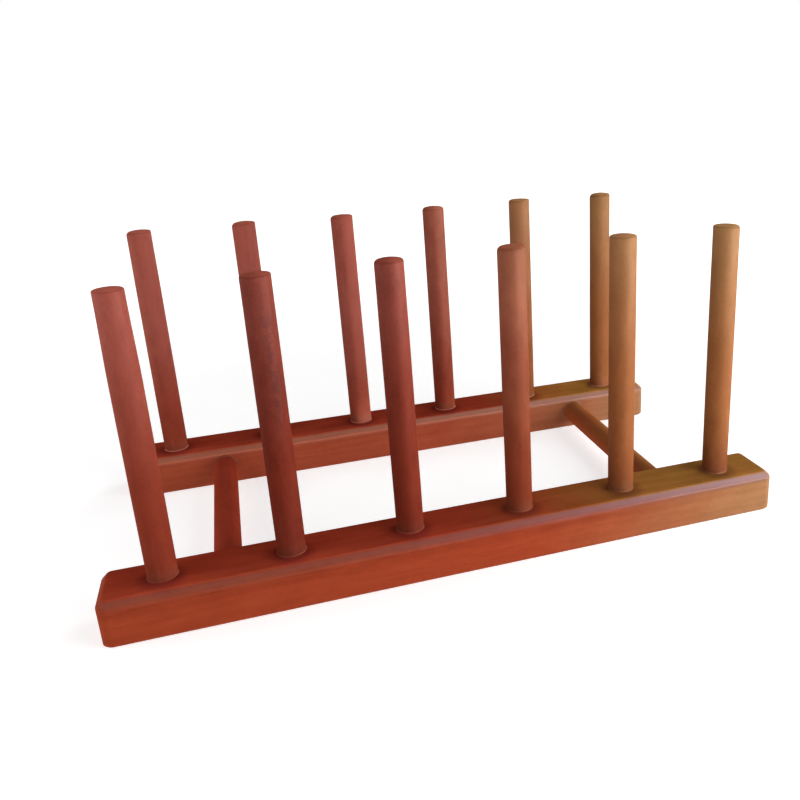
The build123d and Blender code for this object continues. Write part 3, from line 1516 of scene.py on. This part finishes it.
@dataclass
class Pegs:
    """The twelve pegs, each turned by one rule with a tip of its own.

    Attributes:
        finish: the pegs' wood.
        sides: how many faces go round a peg.
        foot_bevel: the bevel that leads the foot into its hole.
        unevenness: how deep the hollows in a peg's side are.
        seed_step: how far apart in the noise the hollows of two neighbours are taken.
        back_seed: how much further along in the noise those of the back row are.
        looks: what sets each peg apart, from the left, for each rail.
    """

    finish: LacqueredWood = PEG_WOOD
    sides: int = 72
    foot_bevel: float = 1.0 * MM
    unevenness: float = 0.10 * MM
    seed_step: float = 10.0
    back_seed: float = 5.0
    looks: Mapping[RailSide, Sequence[PegLook]] = field(
        default_factory=lambda: {RailSide.FRONT: FRONT_PEG_LOOKS, RailSide.BACK: BACK_PEG_LOOKS}
    )

    def build(self) -> list[bpy.types.Object]:
        """Turns every peg where its node stands.

        Returns:
            The pegs, each of which stands for its node.
        """
        rule = PegRule()
        material = self.finish.material()
        return [
            self._peg(rule, material, side, number, look)
            for side, looks in self.looks.items()
            for number, look in enumerate(looks, start=1)
        ]

    def _peg(
        self,
        rule: PegRule,
        material: bpy.types.Material,
        side: RailSide,
        number: int,
        look: PegLook,
    ) -> bpy.types.Object:
        """Turns one peg.

        Args:
            rule: the tree that grows it.
            material: its finish.
            side: the rail that it stands in.
            number: its place in the row, from 1 at the left.
            look: what sets it apart.

        Returns:
            The peg.
        """
        node = f"{side.value}_peg_{number}"
        low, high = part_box(node)
        seed = self.seed_step * number + (self.back_seed if side is RailSide.BACK else 0.0)
        peg = rule.grow(
            f"{node}_turned",
            {
                "Place": ((low.x + high.x) / 2, (low.y + high.y) / 2, low.z),
                "Sides": self.sides,
                "Radius": (high.x - low.x) / 2,
                "Length": high.z - low.z - look.short * MM,
                "Foot Bevel": self.foot_bevel,
                "Rim Rounding": look.rounding * MM,
                "Rounder Side": math.radians(look.rounder_side),
                "Rounder Share": look.rounder_share,
                "Crown": look.crown * MM,
                "Taper": look.taper * MM,
                "Unevenness": self.unevenness,
                "Seed": seed,
                "Tone": look.tone,
                "Pale Side": look.pale_side,
                "Foot Tone": look.foot_tone,
                "Haze Lift": look.haze_lift,
                "Bloom": look.bloom,
                "Scuff": look.scuff,
                "Material": material,
            },
        )
        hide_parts(node)
        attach(peg, "root")
        return peg


@dataclass(frozen=True)
class RingRow:
    """Where one row of rings lies.

    Attributes:
        carrier: the node that the rings sit on, which names the row.
        count: how many there are.
        start: the middle of the first.
        step: from each to the next.
        turn: brings the first one's axis from +Z to its own.
        turn_per_ring: turned further for each next one.
        radius: the dowel's.
        ring: the width and the height of each.
    """

    carrier: str
    count: int
    start: Triple
    step: Triple
    turn: Triple
    turn_per_ring: Triple
    radius: float
    ring: tuple[float, float]


@dataclass
class VarnishRings:
    """The rings of set varnish where the dowels enter the rails.

    Attributes:
        thin_finish: the varnish on the front rail and round the stretchers.
        thick_finish: the varnish on the back rail, painted paler as the highlight on its rings.
        sides: how many faces go round a ring.
        peg_ring: the width and the height of a ring round a peg.
        stretcher_ring: the width and the height of a ring round a stretcher.
        sunk: how far a ring goes into the wood.
        unevenness: how much a ring's width changes round the dowel, as a share of it.
    """

    thin_finish: LacqueredWood = VARNISH
    thick_finish: LacqueredWood = THICK_VARNISH
    sides: int = 48
    peg_ring: tuple[float, float] = (0.25 * MM, 0.50 * MM)
    stretcher_ring: tuple[float, float] = (0.90 * MM, 1.00 * MM)
    sunk: float = 0.12 * MM
    unevenness: float = 0.7

    def build(self) -> list[bpy.types.Object]:
        """Lays a row of rings on each rail and at the ends of each stretcher.

        Returns:
            The rows, each one object.
        """
        rule = RingRowRule()
        thin, thick = self.thin_finish.material(), self.thick_finish.material()
        rows = [
            self._grown(rule, thin, self._rail_row(RailSide.FRONT)),
            self._grown(rule, thick, self._rail_row(RailSide.BACK)),
        ]
        return rows + [
            self._grown(rule, thin, self._stretcher_row(side)) for side in StretcherSide
        ]

    def _rail_row(self, side: RailSide) -> RingRow:
        """Finds where a rail's pegs enter its top.

        Args:
            side: which rail.

        Returns:
            The row of their rings.
        """
        carrier = f"{side.value}_rail"
        rail_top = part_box(carrier)[1].z
        first, radius = self._dowel(f"{side.value}_peg_1")
        last, _ = self._dowel(f"{side.value}_peg_{PEGS_IN_A_ROW}")
        step = (last - first) / (PEGS_IN_A_ROW - 1)
        return RingRow(
            carrier=carrier,
            count=PEGS_IN_A_ROW,
            start=(first.x, first.y, rail_top),
            step=(step.x, 0.0, 0.0),
            turn=(0.0, 0.0, 0.0),
            turn_per_ring=(0.0, 0.0, 0.0),
            radius=radius,
            ring=self.peg_ring,
        )

    def _stretcher_row(self, side: StretcherSide) -> RingRow:
        """Finds where a stretcher enters the two rails' inner faces.

        Args:
            side: which stretcher.

        Returns:
            The row of its two rings, which face each other.
        """
        carrier = f"{side.value}_stretcher"
        inner_front, inner_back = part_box("front_rail")[1].y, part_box("back_rail")[0].y
        middle, radius = self._dowel(carrier)
        return RingRow(
            carrier=carrier,
            count=2,
            start=(middle.x, inner_front, middle.z),
            step=(0.0, inner_back - inner_front, 0.0),
            turn=(-QUARTER_TURN, 0.0, 0.0),
            turn_per_ring=(math.pi, 0.0, 0.0),
            radius=radius,
            ring=self.stretcher_ring,
        )

    @staticmethod
    def _dowel(node: str) -> tuple[Vector, float]:
        """The middle of a dowel's box, and the dowel's radius, from the box's width."""
        low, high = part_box(node)
        return (low + high) / 2, (high.x - low.x) / 2

    def _grown(
        self, rule: RingRowRule, material: bpy.types.Material, row: RingRow
    ) -> bpy.types.Object:
        """Grows one row of rings.

        Args:
            rule: the tree that grows them.
            material: their finish.
            row: where they lie.

        Returns:
            The row as one object.
        """
        width, height = row.ring
        rings = rule.grow(
            f"{row.carrier}_varnish_rings",
            {
                "Count": row.count,
                "Start": row.start,
                "Step": row.step,
                "Turn": row.turn,
                "Turn Per Ring": row.turn_per_ring,
                "Sides": self.sides,
                "Dowel Radius": row.radius,
                "Ring Width": width,
                "Ring Height": height,
                "Sunk": self.sunk,
                "Unevenness": self.unevenness,
                "Seed": len(row.carrier),
                "Material": material,
            },
        )
        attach(rings, "root")
        return rings


def dress_nodes(names: Sequence[str], finish: LacqueredWood) -> list[bpy.types.Object]:
    """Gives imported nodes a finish.

    Args:
        names: the nodes.
        finish: the wood that they are made of.

    Returns:
        The nodes' objects.
    """
    material = finish.material()
    dressed = [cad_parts[name] for name in names]
    for node in dressed:
        for slot in node.material_slots:
            slot.material = material
    return dressed


# Studio


@dataclass(frozen=True)
class SoftLamp:
    """A soft lamp that faces the rack.

    Attributes:
        name: the lamp's name.
        azimuth: where it hangs round the rack, in degrees from +X.
        elevation: how high it hangs, in degrees above the level.
        distance: how far from the middle of the rack.
        width: the lit area's width.
        height: the lit area's height.
        watts: its power.
        in_gloss: whether it is reflected.
        on_matt: whether it lights what doesn't reflect it.
    """

    name: str
    azimuth: float
    elevation: float
    distance: float
    width: float
    height: float
    watts: float
    in_gloss: bool = True
    on_matt: bool = True

    def build(self, target: Vector) -> None:
        """Hangs the lamp.

        Args:
            target: the point that it faces.
        """
        light = bpy.data.lights.new(self.name, "AREA")
        light.shape = "RECTANGLE"
        light.size, light.size_y = self.width, self.height
        light.energy = self.watts
        lamp = bpy.data.objects.new(self.name, light)
        around, up = math.radians(self.azimuth), math.radians(self.elevation)
        level = math.cos(up)
        away = Vector((math.cos(around) * level, math.sin(around) * level, math.sin(up)))
        lamp.location = target + away * self.distance
        lamp.rotation_mode = "QUATERNION"
        lamp.rotation_quaternion = away.to_track_quat("Z", "Y")
        lamp.visible_camera = False
        lamp.visible_glossy = self.in_gloss
        lamp.visible_diffuse = self.on_matt
        bpy.context.scene.collection.objects.link(lamp)


LAMPS = (
    SoftLamp("key_lamp", azimuth=-45, elevation=8, distance=0.5,
             width=0.50, height=0.24, watts=2.6),
    SoftLamp("sheen_lamp", azimuth=-45, elevation=4, distance=0.4,
             width=0.26, height=0.26, watts=2.4, on_matt=False),
    SoftLamp("left_lamp", azimuth=-170, elevation=16, distance=0.5,
             width=0.50, height=0.30, watts=1.4),
    SoftLamp("right_lamp", azimuth=-8, elevation=8, distance=1.0,
             width=0.60, height=0.30, watts=2.5),
    SoftLamp("edge_lamp", azimuth=-41, elevation=43, distance=1.37,
             width=0.45, height=0.45, watts=2.6),
    SoftLamp("back_lamp", azimuth=30, elevation=30, distance=1.5,
             width=0.90, height=0.90, watts=8.9, in_gloss=False),
)


@dataclass
class Studio:
    """The pale floor, the white surroundings, the lamps and the camera.

    Attributes:
        ambient: how strongly the surroundings light the rack.
        floor_reach: how far the floor goes from the rack.
        floor_drop: how far it lies under the rack's feet.
        floor_tone: how pale its surface is.
        floor_glow_near: how much it shines of itself under the rack.
        floor_glow_far: how much it shines of itself far from the rack.
        floor_pool: the band of distances over which the one becomes the other.
        focus: the point that the lamps face.
        lamps: the lamps.
        eye: where the camera is.
        yaw: how far it looks to the right of +Y, in degrees.
        pitch: how far it looks up, in degrees.
        roll: how far it leans to the left, in degrees.
        focal_pixels: the lens, in pixels of the photograph's frame.
        frame_pixels: how wide that frame is.
        sensor: how wide the sensor is, in millimetres.
        shift: how far the lens is shifted to the right and up, in widths of the frame.
    """

    ambient: float = 0.10
    floor_reach: float = 6.0
    floor_drop: float = 0.2 * MM
    floor_tone: float = 0.62
    floor_glow_near: float = 0.62
    floor_glow_far: float = 0.96
    floor_pool: Band = (0.22, 0.60)
    focus: Triple = (0.0, 0.0, 0.06)
    lamps: tuple[SoftLamp, ...] = LAMPS
    eye: Triple = (-0.08151, -0.38700, 0.20070)
    yaw: float = 17.881
    pitch: float = -18.835
    roll: float = -2.087
    focal_pixels: float = 826.233
    frame_pixels: float = 800.0
    sensor: float = 36.0
    shift: tuple[float, float] = (-0.13318, -0.03771)

    def build(self) -> None:
        """Builds the whole studio."""
        scene = bpy.context.scene
        scene.view_settings.view_transform = "Standard"
        self._surroundings(scene)
        self._floor(scene)
        for lamp in self.lamps:
            lamp.build(Vector(self.focus))
        self._camera(scene)

    def _surroundings(self, scene: bpy.types.Scene) -> None:
        """Makes a white world that lights the rack at the ambient level.

        Args:
            scene: the scene that it goes round.
        """
        world = bpy.data.worlds.new("studio_surroundings")
        canvas = NodeCanvas.emptied(world)
        path = canvas.node("ShaderNodeLightPath", {}, {}, "Is Camera Ray")
        seen = path.larger(path.also("Is Glossy Ray")).larger(path.also("Is Transmission Ray"))
        strength = self.ambient + seen * (1 - self.ambient)
        glow = canvas.node("ShaderNodeBackground", {}, {"Color": WHITE, "Strength": strength})
        canvas.node("ShaderNodeOutputWorld", {}, {"Surface": glow})
        scene.world = world

    def _floor(self, scene: bpy.types.Scene) -> None:
        """Makes a pale floor that shows white and keeps the rack's shadow.

        Args:
            scene: the scene that it goes in.
        """
        mesh = bpy.data.meshes.new("studio_floor")
        corners = ((-1, -1), (1, -1), (1, 1), (-1, 1))
        reach, down = self.floor_reach, -self.floor_drop
        mesh.from_pydata([(x * reach, y * reach, down) for x, y in corners], [], [(0, 1, 2, 3)])
        floor = bpy.data.objects.new("studio_floor", mesh)
        scene.collection.objects.link(floor)

        material = bpy.data.materials.new("pale_floor")
        canvas = NodeCanvas.emptied(material)
        tone = (self.floor_tone,) * 3 + (1.0,)
        matt = canvas.node("ShaderNodeBsdfDiffuse", {}, {"Color": tone})
        away = canvas.length(canvas.node("ShaderNodeTexCoord", {}, {}, "Object"))
        near, far = (self.floor_glow_near,) * 3, (self.floor_glow_far,) * 3
        own_light = canvas.mixed(away.rise(*self.floor_pool), near, far)
        glow = canvas.node("ShaderNodeEmission", {}, {"Color": own_light, "Strength": 1.0})
        both = canvas.node("ShaderNodeAddShader", {}, {0: matt, 1: glow})
        canvas.node("ShaderNodeOutputMaterial", {}, {"Surface": both})
        mesh.materials.append(material)

    def _camera(self, scene: bpy.types.Scene) -> None:
        """Sets up the camera where the photograph was taken from.

        Args:
            scene: the scene that it looks at.
        """
        yaw, pitch, roll = (math.radians(a) for a in (self.yaw, self.pitch, self.roll))
        level = math.cos(pitch)
        ahead = Vector((math.sin(yaw) * level, math.cos(yaw) * level, math.sin(pitch)))
        aside = Vector((math.cos(yaw), -math.sin(yaw), 0.0))
        above = aside.cross(ahead)
        right = aside * math.cos(roll) + above * math.sin(roll)
        up = above * math.cos(roll) - aside * math.sin(roll)
        data = bpy.data.cameras.new("camera")
        data.sensor_width = self.sensor
        data.lens = self.focal_pixels / self.frame_pixels * self.sensor
        data.shift_x, data.shift_y = self.shift
        camera = bpy.data.objects.new("camera", data)
        turned = Matrix((right, up, -ahead)).transposed().to_4x4()
        camera.matrix_world = Matrix.Translation(self.eye) @ turned
        scene.collection.objects.link(camera)
        scene.camera = camera


def report(pieces: Sequence[bpy.types.Object]) -> None:
    """Logs each piece and its number of faces."""
    for piece in pieces:
        LOG.info("%s: %d faces", piece.name, len(piece.data.polygons))


def main() -> None:
    """Builds the rack's looks and the studio round it."""
    logging.basicConfig(level=logging.INFO, format="%(message)s")
    Studio().build()
    report(Rails().dress())
    report(Pegs().build())
    report(Stretchers().dress())
    report(VarnishRings().build())


if __name__ == "__main__":
    main()
